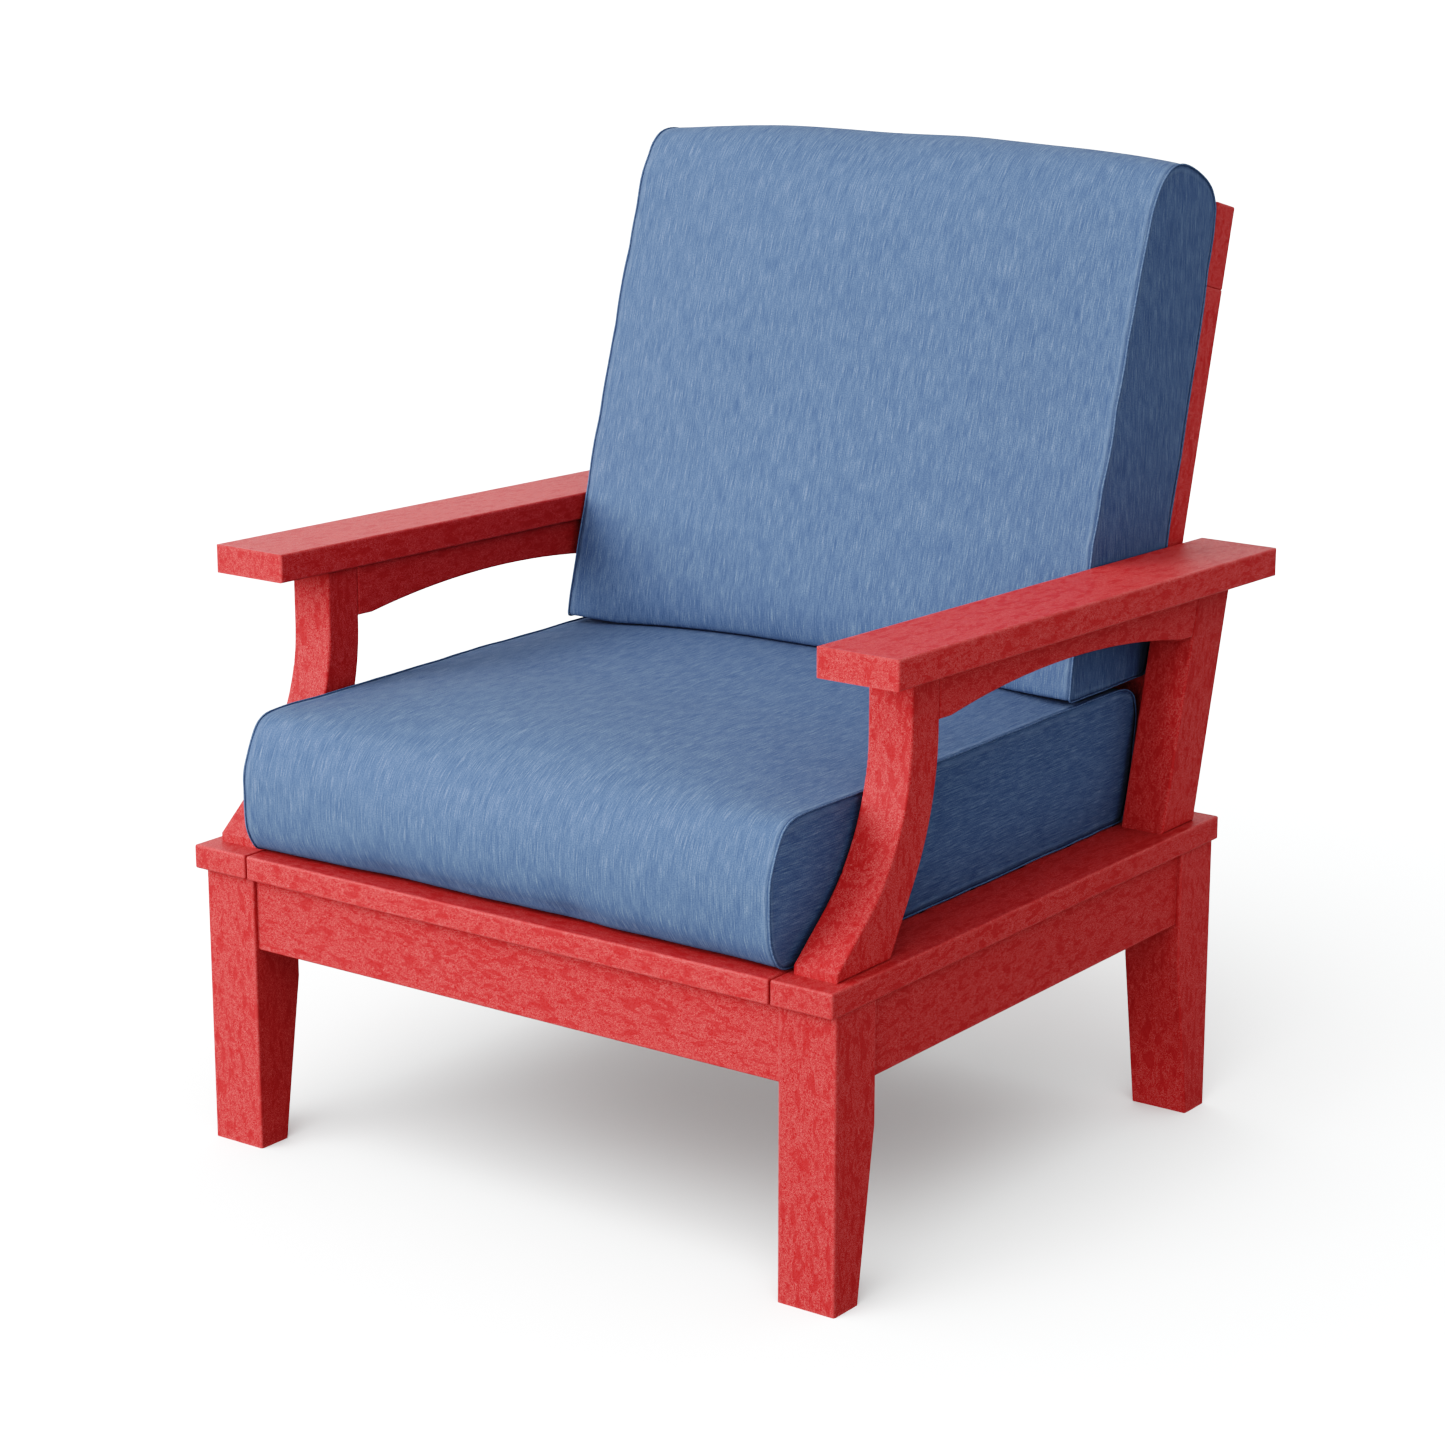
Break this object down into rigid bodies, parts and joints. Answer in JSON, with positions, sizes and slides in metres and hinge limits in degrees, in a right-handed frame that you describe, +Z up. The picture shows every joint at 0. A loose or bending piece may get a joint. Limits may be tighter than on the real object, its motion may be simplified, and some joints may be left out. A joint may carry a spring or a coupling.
{
  "type": "adirondack chair",
  "caption": "Deep-seat outdoor lounge chair: a plastic-lumber frame with wide flat arms and swept posts, a leaning slatted back and loose seat and back cushions.",
  "frame": {"origin": "on the floor, in the middle of the chair's footprint box", "axes": "+Z up; the sitter faces -Y; +X is the sitter's left"},
  "size_m": [0.844, 0.8462, 1.0044],
  "materials": {
    "red_lumber": "brushed, fibre-flecked recycled plastic board",
    "stainless": "plain stainless steel",
    "dowel_rod": "plastic dowel rod",
    "spacer_plastic": "moulded black plastic",
    "cushion_fabric": "heathered blue woven outdoor fabric",
    "cushion_foam": "open-cell foam"
  },
  "bodies": {
    "frame": {"back_bottom_rail": "red_lumber", "back_slat_1": "red_lumber", "back_slat_2": "red_lumber", "back_slat_3": "red_lumber", "back_slat_4": "red_lumber", "back_slat_5": "red_lumber", "back_top_rail": "red_lumber", "front_cap": "red_lumber", "front_left_leg": "red_lumber", "front_rail": "red_lumber", "front_right_leg": "red_lumber", "left_arm": "red_lumber", "left_arm_apron": "red_lumber", "left_back_stile": "red_lumber", "left_front_post": "red_lumber", "left_rear_post": "red_lumber", "left_seat_cleat": "red_lumber", "left_side_cap": "red_lumber", "left_side_rail": "red_lumber", "rear_cap": "red_lumber", "rear_left_leg": "red_lumber", "rear_rail": "red_lumber", "rear_right_leg": "red_lumber", "right_arm": "red_lumber", "right_arm_apron": "red_lumber", "right_back_stile": "red_lumber", "right_front_post": "red_lumber", "right_rear_post": "red_lumber", "right_seat_cleat": "red_lumber", "right_side_cap": "red_lumber", "right_side_rail": "red_lumber", "seat_slat_1": "red_lumber", "seat_slat_2": "red_lumber", "seat_slat_3": "red_lumber", "seat_slat_4": "red_lumber", "seat_slat_5": "red_lumber", "seat_slat_6": "red_lumber", "arm_screws": "stainless", "back_bolt_washers": "stainless", "back_bolts": "stainless", "back_slat_screws": "stainless", "cap_screws": "stainless", "cleat_screws": "stainless", "post_screws": "stainless", "post_studs": "stainless", "rail_screws": "stainless", "seat_slat_screws": "stainless", "arm_dowels": "dowel_rod", "back_dowels": "dowel_rod", "back_spacers": "spacer_plastic"},
    "seat_cushion": {"seat_cushion_core": "cushion_foam", "seat_cushion_cover": "cushion_fabric"},
    "back_cushion": {"back_cushion_core": "cushion_foam", "back_cushion_cover": "cushion_fabric"}
  },
  "joints": [
    {"name": "seat_cushion_pull", "type": "slide", "parent": "frame", "child": "seat_cushion", "axis": [0, -1, 0], "range_m": [0, 0.7]},
    {"name": "back_cushion_lift", "type": "slide", "parent": "frame", "child": "back_cushion", "axis": [0, 0.247, 0.969], "range_m": [0, 0.6]}
  ]
}
